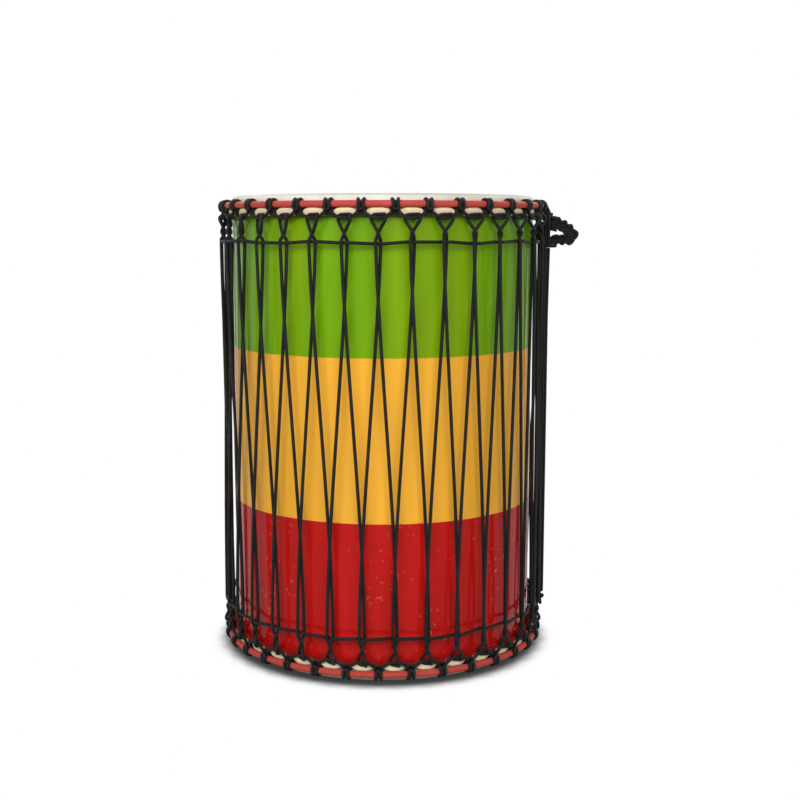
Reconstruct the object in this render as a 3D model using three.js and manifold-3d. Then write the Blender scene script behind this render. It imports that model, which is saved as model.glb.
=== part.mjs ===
// A rope-tuned bass drum with two skins: a tall round wooden shell painted in three bands,
// a skin at each end on its own ring, a cloth-wrapped crown ring over each skin, and black rope
// that loops round the crown rings, laces the ends together and is woven through the lacing.
// Millimetres, +Z up. The bottom skin rests on the ground at Z = 0 and the rope handle is on +X.

import * as THREE from "three";
import { mergeVertices } from "three/addons/utils/BufferGeometryUtils.js";
import Module from "manifold-3d";

const wasm = await Module();
wasm.setup();

// Driving dimensions

const drumHeight = 600;
const shellRadius = 200;
const shellWall = 14;
const edgeRounding = 9;
const edgeLand = 4.5;
const skinThickness = 1.2;
const seatGap = 0.3;
const fleshRodRadius = 2.5;
const crownRodRadius = 3;
const crownClothThickness = 0.8;
const ropeDiameter = 4.2;
const crownDrop = 12.5;
const weaveDrop = 57;
const crossLead = 10;
const topDiamondDrop = 127;
const bottomDiamondDrop = 160;
const paintBandHeight = 200;
const loopCount = 33;
const handleThickness = 12;
const handleReach = 30.5;
const handleStandoff = 1.5;
const lugDrop = 18.5;
const hookThickness = 3.4;
const hitchWidth = 10;
const hitchHeight = 10;
const knotThickness = 9;
const knotWidth = 12;
const knotHeight = 12;
const mergeReach = 0.0005;

// Facets, and the corners of wrapped sections in degrees: 0 faces out and 90 away from the skin's face

const shellFacets = 36;
const ropeSides = 4;
const rodSides = 6;
const handleSides = 8;
const rodCorners = [0, 60, 120, 180, 240, 300];
const clothCorners = [190, 240, 300, 360, 420, 480, 530];
const edgeCorners = [0, -45, -90];
const foldCorners = [22.5, 67.5, 112.5, 157.5];
const hitchCorners = { crest: -80, front: -10, bar: 46 };
const hitchStep = 69;
const hookOuterCorners = [-5, -40, -75, -110, -145, -180, -200];
const hookInnerCorners = [-200, -160, -120, -80, -40, 0, 40, 95];
const hookFrontCorners = [95, 60];
const hookStep = 40;

// Shares of other sizes, chosen by hand

const laceSpreadShare = 0.2;
const runHalfShare = 0.225;
const hitchLegShare = 0.52;
const hitchBackShare = 0.66;
const hitchEarShare = 1;
const hitchBarShare = 0.8;
const crossShare = 0.86;
const pairSideShare = 1.12;
const pairDepthShare = 0.58;
const weaveSideShare = 1.12;
const weaveDepthShare = 0.54;
const tieShare = 0.6;
const handleRouteShares = [
  [0, 0.83],
  [0.3, 0.66],
  [0.68, 0.46],
  [0.95, 0.3],
  [1, 0.15],
  [0.84, 0.03],
  [0.4, 0],
  [0, 0],
];

// Sizes that follow

const pitch = (2 * Math.PI) / loopCount;
const ropeRadius = ropeDiameter / 2;
const ropeStep = ropeDiameter + seatGap;
const skinInside = shellRadius + seatGap;
const skinOutside = skinInside + skinThickness;
const foldInside = fleshRodRadius + seatGap;
const foldOutside = foldInside + skinThickness;
const fleshRadius = skinInside + foldOutside;
const crownOuter = crownRodRadius + seatGap + crownClothThickness;
const hitchReach = crownOuter + ropeRadius + seatGap;
const foldReach = foldOutside + ropeRadius + seatGap;
const legBackRadius = skinOutside + seatGap + ropeRadius;
const crownRadius = legBackRadius + hitchReach;
const crownToFlesh = hitchReach + foldReach;
const fleshDrop = crownDrop + Math.sqrt(crownToFlesh ** 2 - (crownRadius - fleshRadius) ** 2);
const cageRadius = fleshRadius + foldOutside + ropeStep;
const runDrop = fleshDrop + foldReach + ropeRadius / 2;
const turnReach = (ropeStep + seatGap / 2) / Math.cos(Math.PI / 4);
const crossDrop = weaveDrop - crossLead;
const pairDrop = weaveDrop - ropeDiameter;
const loopSpan = pitch * cageRadius;
const spread = laceSpreadShare * loopSpan;
const crossDepth = crossShare * ropeStep;
const pairSide = pairSideShare * ropeStep;
const pairDepth = pairDepthShare * ropeStep;
const weaveSide = weaveSideShare * ropeStep;
const weaveDepth = weaveDepthShare * ropeStep;
const tieSide = tieShare * ropeStep;
const handleAxisRadius = cageRadius + crossDepth + ropeRadius + handleStandoff + handleThickness / 2;

// Green, yellow and red paint from the top down, and bare wood inside

const paintColours = ["#6fae17", "#f2ab2a", "#be1f1a"];
const shellPaint = [...paintColours.map((colour) => finish(colour, 0.28)), finish("#b98a55", 0.8)];

const drum = new THREE.Group();

function finish(color, roughness, metalness) {
  return new THREE.MeshStandardMaterial({ color, roughness, metalness: metalness ?? 0 });
}

function rope() {
  return finish("#232426", 0.62);
}

function add(name, geometry, material) {
  const mesh = new THREE.Mesh(geometry, material);
  mesh.name = name;
  drum.add(mesh);
  return mesh;
}

// An end of the drum: heights are given as a drop from its skin's face

const topEnd = { name: "top", height: (drop) => drumHeight - drop, phase: 0 };
const bottomEnd = { name: "bottom", height: (drop) => drop, phase: pitch / 2 };

function place(angle, side, radius, height) {
  const turn = angle + side / cageRadius;
  return new THREE.Vector3(radius * Math.cos(turn), radius * Math.sin(turn), height);
}

// A closed profile of [radius, height] corners, turned about Z

function turned(corners, facets, phase) {
  const points = corners.map(([radius, height]) => new THREE.Vector2(radius, height));
  const onAxis = corners[0][0] === 0 && corners.at(-1)[0] === 0;
  if (!onAxis) {
    points.push(points[0].clone());
  }
  const next = (index) => points[(index + 1) % points.length];
  const area = points.reduce((sum, point, index) => sum + point.cross(next(index)), 0);
  if (area < 0) {
    points.reverse();
  }
  const geometry = new THREE.LatheGeometry(points, facets, phase + Math.PI / 2);
  geometry.rotateX(Math.PI / 2);
  return geometry;
}

function endProfile(end, corners) {
  return corners.map(([radius, drop]) => [radius, end.height(drop)]);
}

function degrees(angle) {
  return THREE.MathUtils.degToRad(angle);
}

function arc(centreRadius, centreDrop, reach, corners) {
  return corners.map((angle) => [
    centreRadius + reach * Math.cos(degrees(angle)),
    centreDrop + reach * Math.sin(degrees(angle)),
  ]);
}

// A path that is met at its key points only, so a tube along it has one ring at each

class KeyPointPath extends THREE.Curve {
  constructor(points) {
    super();
    this.points = points;
  }

  index(share) {
    return Math.round(share * (this.points.length - 1));
  }

  getPointAt(share, target = new THREE.Vector3()) {
    return target.copy(this.points[this.index(share)]);
  }

  getPoint(share, target) {
    return this.getPointAt(share, target);
  }

  getTangentAt(share, target = new THREE.Vector3()) {
    const at = this.index(share);
    const here = this.points[at];
    const before = this.points[Math.max(at - 1, 0)];
    const after = this.points[Math.min(at + 1, this.points.length - 1)];
    const arriving = here.clone().sub(before).normalize();
    const leaving = after.clone().sub(here).normalize();
    return target.copy(arriving).add(leaving).normalize();
  }
}

function tube(points, radius, sides) {
  const section = new THREE.Shape();
  for (let side = 0; side < sides; side += 1) {
    const turn = ((side + 1 / 2) / sides) * 2 * Math.PI;
    const corner = [radius * Math.cos(turn), radius * Math.sin(turn)];
    if (side === 0) {
      section.moveTo(...corner);
    } else {
      section.lineTo(...corner);
    }
  }
  section.closePath();
  const path = new KeyPointPath(points);
  return new THREE.ExtrudeGeometry(section, { steps: points.length - 1, extrudePath: path });
}

// Shell

function bearingEdge(end) {
  const crest = shellRadius - edgeRounding;
  const top = skinThickness + seatGap;
  const rounding = arc(crest, top + edgeRounding, edgeRounding, edgeCorners);
  const inner = shellRadius - shellWall;
  const chamfer = crest - edgeLand - inner;
  return endProfile(end, [...rounding, [crest - edgeLand, top], [inner, top + chamfer / 2]]);
}

function paintBand(height) {
  if (height > 2 * paintBandHeight) {
    return 0;
  }
  return height > paintBandHeight ? 1 : 2;
}

function shellGeometry() {
  const bandEdges = [
    [shellRadius, 2 * paintBandHeight],
    [shellRadius, paintBandHeight],
  ];
  const corners = [...bearingEdge(topEnd).reverse(), ...bandEdges, ...bearingEdge(bottomEnd)];
  const geometry = turned(corners, shellFacets, pitch / 2);
  const positions = geometry.getAttribute("position");
  const index = geometry.getIndex();
  const face = new THREE.Triangle();
  const middle = new THREE.Vector3();
  const painted = shellRadius - edgeRounding;
  const bare = shellPaint.length - 1;
  for (let at = 0; at < index.count; at += 3) {
    face.setFromAttributeAndIndices(positions, index.getX(at), index.getX(at + 1), index.getX(at + 2));
    face.getMidpoint(middle);
    const outside = Math.hypot(middle.x, middle.y) > painted;
    geometry.addGroup(at, 3, outside ? paintBand(middle.z) : bare);
  }
  return geometry;
}

add("shell", shellGeometry(), shellPaint);

// Skins: a flat head, rounded over the shell's edge and folded up outside the flesh ring

function skinCorners() {
  const crest = shellRadius - edgeRounding;
  const face = skinThickness + edgeRounding + seatGap;
  const innerFace = face - skinThickness;
  const outerEdge = arc(crest, face, face, edgeCorners).reverse();
  const innerEdge = arc(crest, face, innerFace, edgeCorners);
  const cornerReach = 1 / Math.cos(degrees(foldCorners[0]));
  const hollow = arc(fleshRadius, fleshDrop, foldInside * cornerReach, foldCorners).reverse();
  const wrap = arc(fleshRadius, fleshDrop, foldOutside * cornerReach, foldCorners);
  const tailDrop = fleshDrop - foldInside / 2;
  return [
    [0, 0],
    ...outerEdge,
    ...hollow,
    [fleshRadius + foldInside, tailDrop],
    [fleshRadius + foldOutside, tailDrop],
    ...wrap,
    ...innerEdge,
    [0, skinThickness],
  ];
}

function addSkin(end) {
  const geometry = turned(endProfile(end, skinCorners()), shellFacets, pitch / 2);
  add(`${end.name}_skin`, geometry, finish("#ddd3bb", 0.7));
  const rod = arc(fleshRadius, fleshDrop, fleshRodRadius, rodCorners);
  const ring = turned(endProfile(end, rod), shellFacets, pitch / 2);
  add(`${end.name}_flesh_ring`, ring, finish("#8d8f92", 0.45, 0.9));
}

// Crown rings, each a steel rod in a strip of cloth whose edges meet at the inner side

function addCrown(end) {
  const firstKnot = end.phase + pitch / 2;
  const rod = arc(crownRadius, crownDrop, crownRodRadius, rodCorners);
  const ring = turned(endProfile(end, rod), loopCount, firstKnot);
  add(`${end.name}_crown_ring`, ring, finish("#8d8f92", 0.4, 0.9));
  const inside = arc(crownRadius, crownDrop, crownRodRadius + seatGap, clothCorners);
  const outside = arc(crownRadius, crownDrop, crownOuter, clothCorners).reverse();
  const cloth = turned(endProfile(end, [...inside, ...outside]), loopCount, firstKnot);
  add(`${end.name}_crown_cloth`, cloth, finish("#c8332b", 0.85));
}

for (const end of [topEnd, bottomEnd]) {
  addSkin(end);
  addCrown(end);
}

// Loop rope: a cow hitch on the crown ring at each knot, and a level run to the next knot

function hitchOutline() {
  const across = crownRadius - fleshRadius;
  const down = fleshDrop - crownDrop;
  const inward = [-across / crownToFlesh, down / crownToFlesh];
  const outward = [inward[1], -inward[0]];
  const neck = [crownRadius + hitchReach * inward[0], crownDrop + hitchReach * inward[1]];
  const back = (neck[0] - legBackRadius) / outward[0];
  const low = [neck[0] - back * outward[0], neck[1] - back * outward[1]];
  const exit = [neck[0] + ropeStep * outward[0], neck[1] + ropeStep * outward[1]];
  const wrap = hitchReach / Math.cos(degrees(hitchStep / 2));
  const high = [low[0], 2 * crownDrop - low[1]];
  const [crest, front] = arc(crownRadius, crownDrop, wrap, [hitchCorners.crest, hitchCorners.front]);
  const [bar] = arc(crownRadius, crownDrop, wrap + seatGap, [hitchCorners.bar]);
  return { exit, low, high, crest, front, bar };
}

const hitch = hitchOutline();

function hitchSide(end, angle, direction) {
  const at = ([radius, drop], share) => place(angle, direction * share * ropeStep, radius, end.height(drop));
  return {
    ear: [at(hitch.bar, hitchBarShare), at(hitch.front, hitchEarShare), at(hitch.crest, hitchEarShare)],
    leg: [at(hitch.high, hitchBackShare), at(hitch.low, hitchLegShare), at(hitch.exit, hitchLegShare)],
    run: place(angle, direction * runHalfShare * loopSpan, cageRadius, end.height(runDrop)),
  };
}

function loopRopePoints(end, tieKnot) {
  const points = [];
  for (let step = 0; step <= loopCount; step += 1) {
    const angle = end.phase + (tieKnot + step + 1 / 2) * pitch;
    const arriving = hitchSide(end, angle, -1);
    const leaving = hitchSide(end, angle, 1);
    if (step > 0) {
      points.push(arriving.run, ...arriving.leg.toReversed(), ...arriving.ear.toReversed());
    }
    if (step < loopCount) {
      points.push(...leaving.ear, ...leaving.leg, leaving.run);
    }
  }
  return points.slice(1, -1);
}

const tieKnotPlace = 1;

function lump(reachOut, reachSide, reachUp) {
  const geometry = new THREE.IcosahedronGeometry(1, 1);
  geometry.scale(reachOut, reachSide, reachUp);
  return geometry;
}

function addLoopRope(end) {
  add(`${end.name}_loop_rope`, tube(loopRopePoints(end, tieKnotPlace), ropeRadius, ropeSides), rope());
  const legOutside = hitch.exit[0] + ropeRadius + seatGap;
  const frontOutside = hitch.front[0] + ropeRadius;
  const thick = (frontOutside - legOutside) / 2 + seatGap;
  const tall = ropeDiameter;
  const geometry = lump(thick, hitchEarShare * ropeStep + ropeRadius, tall);
  geometry.translate(legOutside + thick, 0, end.height(hitch.front[1] + tall + seatGap));
  geometry.rotateZ(end.phase + (tieKnotPlace + 1 / 2) * pitch);
  add(`${end.name}_loop_rope_knot`, geometry, rope());
}

// Lacing rope: it turns round the run of each loop, crosses itself above and below the weave
// ropes, and goes over to the loop half a pitch further on at the other end

function turnPoints(end, angle) {
  return [
    place(angle, -spread, cageRadius - turnReach, end.height(runDrop)),
    place(angle, 0, cageRadius, end.height(runDrop - turnReach)),
    place(angle, spread, cageRadius + turnReach, end.height(runDrop)),
  ];
}

function armPoints(end, angle, rightArm, diamondDrop) {
  const way = rightArm ? 1 : -1;
  return [
    place(angle, 0, cageRadius - way * crossDepth, end.height(crossDrop)),
    place(angle, -way * pairSide, cageRadius + way * pairDepth, end.height(pairDrop)),
    place(angle, 0, cageRadius + way * pairDepth, end.height(diamondDrop)),
  ];
}

function lacingPoints() {
  const points = [];
  const startAngle = bottomEnd.phase;
  for (let loop = 0; loop < loopCount; loop += 1) {
    const lower = startAngle + loop * pitch;
    const upper = lower + pitch / 2;
    points.push(...armPoints(bottomEnd, lower, true, bottomDiamondDrop));
    points.push(...armPoints(topEnd, upper, false, topDiamondDrop).reverse());
    points.push(...turnPoints(topEnd, upper));
    points.push(...armPoints(topEnd, upper, true, topDiamondDrop));
    points.push(...armPoints(bottomEnd, lower + pitch, false, bottomDiamondDrop).reverse());
    if (loop < loopCount - 1) {
      points.push(...turnPoints(bottomEnd, lower + pitch));
    }
  }
  points[0] = place(startAngle, -tieSide, cageRadius, bottomEnd.height(crossDrop));
  points[points.length - 1] = place(startAngle, tieSide, cageRadius, bottomEnd.height(crossDrop));
  return points;
}

function addLacing() {
  add("lacing_rope", tube(lacingPoints(), ropeRadius, ropeSides), rope());
  const near = runDrop + ropeRadius + seatGap;
  const far = crossDrop - seatGap - ropeRadius / 2;
  const geometry = lump(knotThickness / 2, tieSide + ropeRadius, (far - near) / 2);
  geometry.translate(cageRadius, 0, bottomEnd.height((near + far) / 2));
  geometry.rotateZ(bottomEnd.phase);
  add("lacing_knot", geometry, rope());
}

// Weave ropes: behind the left rope of each pair and in front of the right one

function addWeaveRope(end) {
  const points = [];
  for (let loop = 0; loop < loopCount; loop += 1) {
    const angle = end.phase + loop * pitch;
    points.push(place(angle, -weaveSide, cageRadius - weaveDepth, end.height(weaveDrop)));
    points.push(place(angle, weaveSide, cageRadius + weaveDepth, end.height(weaveDrop)));
  }
  points.push(place(end.phase, -weaveSide - ropeStep, cageRadius - weaveDepth, end.height(weaveDrop)));
  add(`${end.name}_weave_rope`, tube(points, ropeRadius, rodSides), rope());
}

// Tail rope: up the outside of the lacing to the handle

const cageOutside = cageRadius + pairDepth + ropeRadius;
const lowerHitchBase = topEnd.height(weaveDrop) - hitchHeight - handleThickness / 2;

function addTail() {
  const foot = bottomEnd.height(weaveDrop) + knotHeight / 2 + seatGap;
  const top = lowerHitchBase - seatGap;
  const radius = cageOutside + seatGap + ropeRadius;
  const points = [foot, (foot + top) / 2, top].map((height) => place(0, 0, radius, height));
  add("tail_rope", tube(points, ropeRadius, rodSides), rope());
  const reach = radius - (cageRadius + ropeRadius + seatGap);
  const knot = lump(reach, knotWidth / 2, knotHeight / 2);
  knot.translate(radius, 0, bottomEnd.height(weaveDrop));
  add("tail_knot", knot, rope());
}

// Handle: a braided loop that swings about the upright line through its two ends

function extruded(corners, width) {
  const shape = new THREE.Shape(corners.map(([radius, height]) => new THREE.Vector2(radius, height)));
  const geometry = new THREE.ExtrudeGeometry(shape, { depth: width, bevelEnabled: false });
  geometry.rotateX(Math.PI / 2);
  geometry.translate(0, width / 2, 0);
  return geometry;
}

function solid(geometry) {
  const bare = geometry.clone();
  bare.deleteAttribute("normal");
  bare.deleteAttribute("uv");
  const merged = mergeVertices(bare, mergeReach);
  return new wasm.Manifold(new wasm.Mesh({
    numProp: 3,
    vertProperties: merged.getAttribute("position").array,
    triVerts: new Uint32Array(merged.getIndex().array),
  }));
}

function geometryOf(manifold) {
  const mesh = manifold.getMesh();
  const geometry = new THREE.BufferGeometry();
  geometry.setAttribute("position", new THREE.BufferAttribute(mesh.vertProperties, 3));
  geometry.setIndex(new THREE.BufferAttribute(mesh.triVerts, 1));
  return geometry;
}

function addUpperHitch() {
  const centre = crownRadius * Math.cos(pitch / 2);
  const hole = (crownOuter + seatGap) / Math.cos(degrees(hookStep / 2));
  const wrap = crownOuter + seatGap + hookThickness;
  const outer = arc(centre, crownDrop, wrap, hookOuterCorners);
  const inner = arc(centre, crownDrop, hole, hookInnerCorners);
  const front = arc(centre, crownDrop, wrap, hookFrontCorners);
  const lug = [
    [handleAxisRadius + handleThickness / 2, lugDrop],
    [handleAxisRadius + handleThickness / 2, crownDrop],
  ];
  const corners = [...outer, ...inner, ...front, [centre + wrap, lugDrop], ...lug];
  add("handle_upper_hitch", extruded(endProfile(topEnd, corners), hitchWidth), rope());
}

function addLowerHitch() {
  const inner = cageRadius + weaveDepth + ropeRadius + seatGap;
  const outer = handleAxisRadius + handleThickness / 2;
  const lip = handleAxisRadius - handleThickness / 2 - seatGap;
  const top = lowerHitchBase + hitchHeight;
  const lipTop = topEnd.height(weaveDrop) + ropeRadius;
  const corners = [
    [inner, lowerHitchBase],
    [outer, lowerHitchBase],
    [outer, top],
    [lip, top],
    [lip, lipTop],
    [inner, lipTop],
  ];
  add("handle_lower_hitch", extruded(corners, hitchWidth), rope());
}

function addHandle() {
  const radius = handleThickness / 2;
  const top = topEnd.height(lugDrop) - seatGap;
  const bottom = lowerHitchBase + hitchHeight + seatGap;
  const eye = (low, high) => {
    const geometry = new THREE.CylinderGeometry(radius, radius, high - low, handleSides);
    geometry.rotateX(Math.PI / 2);
    geometry.translate(handleAxisRadius, 0, (low + high) / 2);
    return geometry;
  };
  const lowerLimb = bottom + radius;
  const rise = top - lowerLimb;
  const points = handleRouteShares.map(([out, up]) =>
    place(0, 0, handleAxisRadius + out * handleReach, lowerLimb + up * rise),
  );
  const limb = solid(tube(points, radius, handleSides));
  const joined = limb.add(solid(eye(bottom, bottom + 2 * radius))).add(solid(eye(top - 2 * radius, top)));
  add("handle", geometryOf(joined), rope());
}

addLoopRope(topEnd);
addLoopRope(bottomEnd);
addLacing();
addWeaveRope(topEnd);
addWeaveRope(bottomEnd);
addTail();
addUpperHitch();
addLowerHitch();
addHandle();

export default drum;
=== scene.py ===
"""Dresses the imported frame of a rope-tuned bass drum: a painted shell, hide heads, rings in cloth,
black rope lacing and a chain-stitched handle. Metres, +Z up, the handle is on +X."""

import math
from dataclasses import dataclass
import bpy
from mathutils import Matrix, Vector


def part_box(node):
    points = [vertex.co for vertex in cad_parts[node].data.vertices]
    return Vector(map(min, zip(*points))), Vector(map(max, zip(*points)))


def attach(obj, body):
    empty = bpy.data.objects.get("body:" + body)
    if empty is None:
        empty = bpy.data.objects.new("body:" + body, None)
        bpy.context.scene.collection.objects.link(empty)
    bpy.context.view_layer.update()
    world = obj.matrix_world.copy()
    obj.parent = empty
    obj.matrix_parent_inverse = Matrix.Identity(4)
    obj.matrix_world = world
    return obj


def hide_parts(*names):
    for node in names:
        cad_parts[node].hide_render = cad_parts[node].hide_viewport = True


bl_info = {
    "name": "Dunun Drum",
    "version": (1, 0, 0),
    "blender": (4, 5, 0),
    "location": "View3D > Sidebar > Dunun",
    "description": "Builds the drum's visible pieces and its studio round the CAD frame",
    "category": "Object",
}

import bpy
import numpy as np
from mathutils import Vector

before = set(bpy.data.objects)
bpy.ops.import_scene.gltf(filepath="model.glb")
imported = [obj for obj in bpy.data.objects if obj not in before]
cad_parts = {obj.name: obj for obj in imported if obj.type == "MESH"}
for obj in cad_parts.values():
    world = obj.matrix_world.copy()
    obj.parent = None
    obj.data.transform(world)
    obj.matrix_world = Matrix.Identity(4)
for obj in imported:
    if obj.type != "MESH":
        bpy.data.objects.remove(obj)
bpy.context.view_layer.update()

TURN = 2 * math.pi
IMAGE_WIDTH = 800
SENSOR_WIDTH = 36
DRUM_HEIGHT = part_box("top_skin")[1].z


def number(name, default, description, **limits):
    return bpy.props.FloatProperty(name=name, description=description, default=default, **limits)


def length(name, default, description):
    return number(name, default, description, min=0, unit="LENGTH", subtype="DISTANCE", precision=4)


def colour(name, default, description):
    return bpy.props.FloatVectorProperty(
        name=name, description=description, default=default, min=0, max=1, size=3, subtype="COLOR"
    )


class DununSizes(bpy.types.PropertyGroup):
    """Sizes of the drum. A drop is a distance from an end's skin face"""

    drum_height: length("Drum height", DRUM_HEIGHT, "From skin face to skin face")
    shell_radius: length("Shell radius", 0.2, "Outside of the wooden shell")
    shell_wall: length("Shell wall", 0.014, "Thickness of the wood")
    edge_rounding: length("Edge rounding", 0.007, "Radius of the bearing edge")
    edge_land: length("Edge land", 0.0045, "Flat part of the bearing edge")
    green_line: length("Green line", 0.4036, "Height of the line between green and yellow")
    red_line: length("Red line", 0.2, "Height of the line between yellow and red")
    skin_thickness: length("Skin thickness", 0.0012, "Thickness of the hide")
    seat_gap: length("Seat gap", 0.0003, "Room between pieces that touch")
    flesh_rod_radius: length("Flesh rod", 0.0025, "Radius of the rod that the hide is folded round")
    crown_rod_radius: length("Crown rod", 0.003, "Radius of the rod over the skin's edge")
    crown_cloth: length("Crown cloth", 0.0008, "Thickness of the cloth on the crown ring")
    crown_drop: length("Crown drop", 0.0125, "Drop of the crown ring")
    rope_diameter: length("Rope diameter", 0.0042, "Thickness of every rope")
    weave_drop: length("Weave drop", 0.057, "Drop of the rope that is woven through the lacing")
    top_cross: length("Top crossing", 0.0105, "From the first crossing at the top to the weave rope")
    bottom_cross: length(
        "Bottom crossing", 0.0138, "From the first crossing at the bottom to the weave rope"
    )
    top_diamond: length("Top diamond", 0.127, "Drop of the second crossing at the top")
    bottom_diamond: length("Bottom diamond", 0.160, "Drop of the second crossing at the bottom")
    pair_side: length("Pair side", 0.003, "Half the spacing of two ropes at the weave")
    pair_depth: length("Pair depth", 0.0028, "How far a rope of the pair stands in or out")
    handle_reach: length("Handle reach", 0.0305, "How far the handle stands out from its hinge")
    handle_thickness: length("Handle thickness", 0.012, "Thickness of the chained rope")
    loop_count: bpy.props.IntProperty(
        name="Loops", description="Loops of rope at each end", default=33, min=8, max=60
    )


class DununColours(bpy.types.PropertyGroup):
    """Colours of the drum, as plain light"""

    green: colour("Green", (0.175, 0.39, 0.003), "Top band")
    yellow: colour("Yellow", (0.99, 0.478, 0.042), "Middle band")
    red: colour("Red", (0.55, 0.0095, 0.0075), "Bottom band")
    wood: colour("Bare wood", (0.48, 0.25, 0.09), "Inside of the shell")
    hide: colour("Hide", (0.82, 0.805, 0.74), "Skins")
    hide_dark: colour("Hide mottling", (0.42, 0.35, 0.25), "Darker parts of the skins")
    # Partly the hide's own warmer tone at the fold, partly painted warm light bounced from the red ring
    # cloth
    hide_fold_and_bounce: colour("Hide fold", (0.86, 0.70, 0.47), "Hide where it is folded round its ring")
    cloth: colour("Ring cloth", (0.53, 0.06, 0.042), "Cloth on the crown rings")
    rope: colour("Rope", (0.007, 0.0075, 0.0073), "All the ropes")
    steel: colour("Steel", (0.42, 0.42, 0.43), "Rings")


class DununStudio(bpy.types.PropertyGroup):
    """Where the camera stands and how bright the lamps are"""

    camera_distance: length("Camera distance", 1.6962, "From the drum's axis")
    camera_height: length("Camera height", 0.5607, "Above the floor")
    camera_azimuth: number("Camera azimuth", math.radians(4.13), "Turn round the drum", subtype="ANGLE")
    camera_pitch: number("Camera pitch", math.radians(7.879), "Tilt below the horizon", subtype="ANGLE")
    focal_pixels: number("Focal length", 1253.6, "In pixels of the image", min=1, subtype="PIXEL")
    centre_pixels: number(
        "Image centre", 382.65, "Pixels from the left to the optical axis", subtype="PIXEL"
    )
    ambient: number("Ambient", 0.25, "Light from all round", min=0, max=1, subtype="FACTOR")
    lamp_power: number("Lamp power", 21, "The strongest lamp, in watts", min=0, subtype="POWER")


CAGE_TO_HINGE_SHARE = 1.66
EYE_SHARE = 0.65
RUN_BELOW_FOLD_SHARE = 1.25
TOP_SPREAD_SHARE = 0.2
BOTTOM_SPREAD_SHARE = 0.13


class Layout:
    """Places that follow from the sizes"""

    def __init__(self, sizes):
        self.sizes = sizes
        self.pitch = TURN / sizes.loop_count
        self.rope_radius = sizes.rope_diameter / 2
        self.rope_step = sizes.rope_diameter + sizes.seat_gap
        skin_inside = sizes.shell_radius + sizes.seat_gap
        self.fold_inside = sizes.flesh_rod_radius + sizes.seat_gap
        self.fold_outside = self.fold_inside + sizes.skin_thickness
        self.flesh_radius = skin_inside + self.fold_outside
        self.cloth_inside = sizes.crown_rod_radius + sizes.seat_gap
        self.cloth_outside = self.cloth_inside + sizes.crown_cloth
        reach = self.cloth_outside + self.rope_radius + sizes.seat_gap
        leg_back = skin_inside + sizes.skin_thickness + sizes.seat_gap + self.rope_radius
        self.crown_radius = leg_back + reach
        fold_reach = self.fold_outside + self.rope_radius + sizes.seat_gap
        across = self.crown_radius - self.flesh_radius
        down = math.sqrt((reach + fold_reach) ** 2 - across**2)
        self.flesh_drop = sizes.crown_drop + down
        self.cage_radius = self.flesh_radius + self.fold_outside + self.rope_step
        self.run_drop = self.flesh_drop + RUN_BELOW_FOLD_SHARE * self.fold_outside
        self.hug = self.cloth_outside + self.rope_radius + sizes.seat_gap / 3
        self.tail_radius = self.cage_radius + sizes.pair_depth + sizes.rope_diameter + sizes.seat_gap
        hinge = CAGE_TO_HINGE_SHARE * self.rope_step + sizes.handle_thickness / 2
        self.hinge_radius = self.cage_radius + hinge
        self.eye_radius = EYE_SHARE * sizes.handle_thickness / 2
        loop_span = self.pitch * self.cage_radius
        top_spread, bottom_spread = loop_span * TOP_SPREAD_SHARE, loop_span * BOTTOM_SPREAD_SHARE
        height, half = sizes.drum_height, self.pitch / 2
        self.top = End("top", height, -1, 0, sizes.top_diamond, sizes.top_cross, top_spread)
        self.bottom = End("bottom", 0, 1, half, sizes.bottom_diamond, sizes.bottom_cross, bottom_spread)
        self.ends = (self.top, self.bottom)

    def place(self, end, angle, side, radius, drop):
        """side is measured along the rope cage, to the right as seen from outside"""
        turn = angle + side / self.cage_radius
        return (radius * math.cos(turn), radius * math.sin(turn), end.height(drop))


@dataclass
class End:
    """One end of the drum. The lacing's turn round a loop reaches as far as the spread to each side"""

    name: str
    face: float
    way: int
    phase: float
    diamond: float
    lead: float
    spread: float

    def height(self, drop):
        return self.face + self.way * drop


def layout():
    return Layout(bpy.context.scene.dunun_sizes)


# Mesh tools


def name_active(name):
    piece = bpy.context.active_object
    piece.name = name
    piece.data.name = name
    return piece


def choose(piece, test):
    """Selects in edit mode the vertices that pass the test"""
    bpy.ops.mesh.select_all(action="DESELECT")
    bpy.ops.object.mode_set(mode="OBJECT")
    for vertex in piece.data.vertices:
        vertex.select = test(vertex.co)
    bpy.ops.object.mode_set(mode="EDIT")


def arc(centre, reach, angles):
    """Points round a centre in (radius, drop): 0 faces out and -90 towards the skin's face"""
    turns = [math.radians(angle) for angle in angles]
    return [(centre[0] + reach * math.cos(turn), centre[1] + reach * math.sin(turn)) for turn in turns]


def steps(first, last, count):
    return [first + (last - first) * index / count for index in range(count + 1)]


def turned(name, corners, facets, closed=True):
    """A ring is extruded and scaled from corner to corner of a profile, as on a lathe"""
    bpy.ops.object.select_all(action="DESELECT")
    radius, height = corners[0]
    bpy.ops.mesh.primitive_circle_add(vertices=facets, radius=radius, location=(0, 0, height))
    bpy.ops.object.transform_apply()
    piece = name_active(name)
    bpy.ops.object.mode_set(mode="EDIT")
    bpy.ops.mesh.select_all(action="SELECT")
    for target, level in corners[1:] + (corners[:1] if closed else []):
        bpy.ops.mesh.extrude_region_move(TRANSFORM_OT_translate={"value": (0, 0, level - height)})
        share = target / radius
        bpy.ops.transform.resize(value=(share, share, 1), center_override=(0, 0, level))
        radius, height = target, level
    return piece


MERGE_REACH = 1e-6
SHARP_ANGLE = math.radians(40)


def seal(piece):
    """Joins doubles, turns the faces outwards and shades smooth but for sharp corners"""
    bpy.ops.mesh.select_all(action="SELECT")
    bpy.ops.mesh.remove_doubles(threshold=MERGE_REACH)
    bpy.ops.mesh.normals_make_consistent(inside=False)
    bpy.ops.object.mode_set(mode="OBJECT")
    bpy.ops.object.shade_smooth_by_angle(angle=SHARP_ANGLE)
    return piece


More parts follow.
